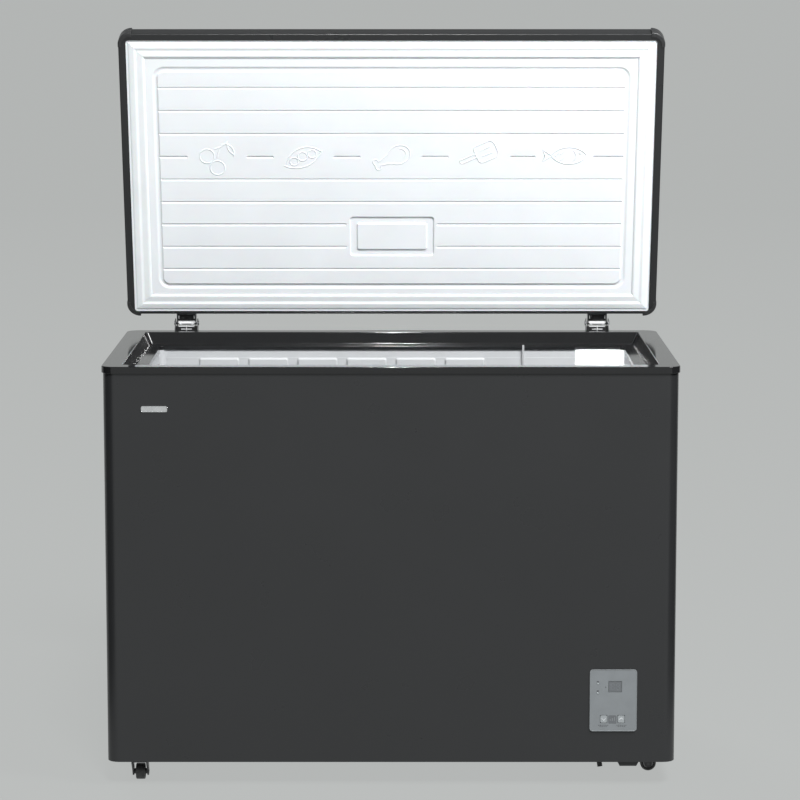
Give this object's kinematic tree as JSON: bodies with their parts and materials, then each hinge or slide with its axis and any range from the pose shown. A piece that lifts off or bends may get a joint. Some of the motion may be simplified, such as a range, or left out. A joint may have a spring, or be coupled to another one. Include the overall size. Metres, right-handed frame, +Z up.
{
  "type": "chest freezer",
  "caption": "Chest freezer with a deep insulated tub, a hinged lid standing open on sprung hinges, a front control panel and swivel casters.",
  "frame": {"origin": "on the floor, under the middle of the whole object's box with the lid open", "axes": "+Z up, -Y the front with the control panel, +X to the right of someone who faces it"},
  "size_m": [1.1046, 0.6565, 1.4436],
  "materials": {
    "dark_paint": "satin",
    "frame_plastic": "satin",
    "liner_sheet": "satin",
    "white_plastic": "satin",
    "gasket_rubber": "satin",
    "foam": "matte",
    "copper": "satin",
    "galvanised_steel": "satin",
    "hinge_zinc": "polished",
    "caster_zinc": "satin",
    "compressor_black": "satin",
    "black_plastic": "satin",
    "grey_plastic": "satin",
    "cap_plastic": "matte",
    "faceplate_grey": "satin",
    "display": "gloss",
    "lamp_lens": "gloss",
    "button_grey": "satin",
    "circuit_board": "satin",
    "badge_silver": "polished",
    "wheel_nylon": "satin"
  },
  "bodies": {
    "cabinet": {"outer_cabinet": "dark_paint", "rear_panel": "dark_paint", "compressor_base_plate": "dark_paint", "top_frame": "frame_plastic", "inner_liner": "liner_sheet", "sensor_strip": "white_plastic", "cabinet_insulation": "foam", "evaporator_coil": "copper", "condenser_coil": "copper", "filter_drier": "copper", "discharge_tube": "copper", "suction_tube": "copper", "bottom_panel": "galvanised_steel", "compressor_bay_housing": "galvanised_steel", "hinge_bracket_left": "hinge_zinc", "hinge_bracket_right": "hinge_zinc", "hinge_pin_left": "hinge_zinc", "hinge_pin_right": "hinge_zinc", "hinge_spring_left": "hinge_zinc", "hinge_spring_right": "hinge_zinc", "caster_plate_front_left": "caster_zinc", "caster_plate_front_right": "caster_zinc", "caster_plate_rear_left": "caster_zinc", "caster_plate_rear_right": "caster_zinc", "compressor": "compressor_black", "side_vent_grille": "black_plastic", "cord_gland": "black_plastic", "drain_tube": "black_plastic", "start_relay": "grey_plastic", "control_panel": "faceplate_grey", "display_window": "display", "indicator_lens_upper": "lamp_lens", "indicator_lens_lower": "lamp_lens", "control_board": "circuit_board", "badge": "badge_silver"},
    "lid": {"lid_outer_panel": "dark_paint", "lid_insulation": "foam", "lid_inner_panel": "white_plastic", "lid_gasket": "gasket_rubber", "hinge_leaf_left": "hinge_zinc", "hinge_leaf_right": "hinge_zinc", "lid_corner_cap_front_left": "cap_plastic", "lid_corner_cap_front_right": "cap_plastic", "lid_corner_cap_rear_left": "cap_plastic", "lid_corner_cap_rear_right": "cap_plastic"},
    "drain_plug": {"drain_plug": "grey_plastic"},
    "button_left": {"button_left": "button_grey"},
    "button_right": {"button_right": "button_grey"},
    "caster_fork_front_left": {"caster_fork_front_left": "caster_zinc", "caster_axle_front_left": "caster_zinc"},
    "caster_wheel_front_left": {"caster_wheel_front_left": "wheel_nylon"},
    "caster_fork_front_right": {"caster_fork_front_right": "caster_zinc", "caster_axle_front_right": "caster_zinc"},
    "caster_wheel_front_right": {"caster_wheel_front_right": "wheel_nylon"},
    "caster_fork_rear_left": {"caster_fork_rear_left": "caster_zinc", "caster_axle_rear_left": "caster_zinc"},
    "caster_wheel_rear_left": {"caster_wheel_rear_left": "wheel_nylon"},
    "caster_fork_rear_right": {"caster_fork_rear_right": "caster_zinc", "caster_axle_rear_right": "caster_zinc"},
    "caster_wheel_rear_right": {"caster_wheel_rear_right": "wheel_nylon"}
  },
  "joints": [
    {"name": "lid_hinge", "type": "hinge", "parent": "cabinet", "child": "lid", "pos_m": [0, 0.29575, 0.828], "axis": [-1, 0, 0], "range_deg": [-75, 0], "stiffness_Nm_per_rad": 9, "springref_deg": 34.38},
    {"name": "drain_plug_pull", "type": "slide", "parent": "cabinet", "child": "drain_plug", "axis": [0, 0, 1], "range_m": [0, 0.03]},
    {"name": "button_left_press", "type": "slide", "parent": "cabinet", "child": "button_left", "axis": [0, 1, 0], "range_m": [0, 0.001], "stiffness_N_per_m": 400},
    {"name": "button_right_press", "type": "slide", "parent": "cabinet", "child": "button_right", "axis": [0, 1, 0], "range_m": [0, 0.001], "stiffness_N_per_m": 400},
    {"name": "caster_swivel_front_left", "type": "hinge", "parent": "cabinet", "child": "caster_fork_front_left", "pos_m": [-0.487, -0.28625, 0.041], "axis": [0, 0, 1], "continuous": true},
    {"name": "caster_roll_front_left", "type": "hinge", "parent": "caster_fork_front_left", "child": "caster_wheel_front_left", "pos_m": [-0.487, -0.26825, 0.0155], "axis": [-1, 0, 0], "continuous": true},
    {"name": "caster_swivel_front_right", "type": "hinge", "parent": "cabinet", "child": "caster_fork_front_right", "pos_m": [0.487, -0.19925, 0.041], "axis": [0, 0, 1], "continuous": true},
    {"name": "caster_roll_front_right", "type": "hinge", "parent": "caster_fork_front_right", "child": "caster_wheel_front_right", "pos_m": [0.505, -0.19925, 0.0155], "axis": [0, 1, 0], "continuous": true},
    {"name": "caster_swivel_rear_left", "type": "hinge", "parent": "cabinet", "child": "caster_fork_rear_left", "pos_m": [-0.487, 0.21075, 0.041], "axis": [0, 0, 1], "continuous": true},
    {"name": "caster_roll_rear_left", "type": "hinge", "parent": "caster_fork_rear_left", "child": "caster_wheel_rear_left", "pos_m": [-0.469, 0.21075, 0.0155], "axis": [0, 1, 0], "continuous": true},
    {"name": "caster_swivel_rear_right", "type": "hinge", "parent": "cabinet", "child": "caster_fork_rear_right", "pos_m": [0.487, 0.21075, 0.041], "axis": [0, 0, 1], "continuous": true},
    {"name": "caster_roll_rear_right", "type": "hinge", "parent": "caster_fork_rear_right", "child": "caster_wheel_rear_right", "pos_m": [0.469, 0.21075, 0.0155], "axis": [0, -1, 0], "continuous": true}
  ]
}
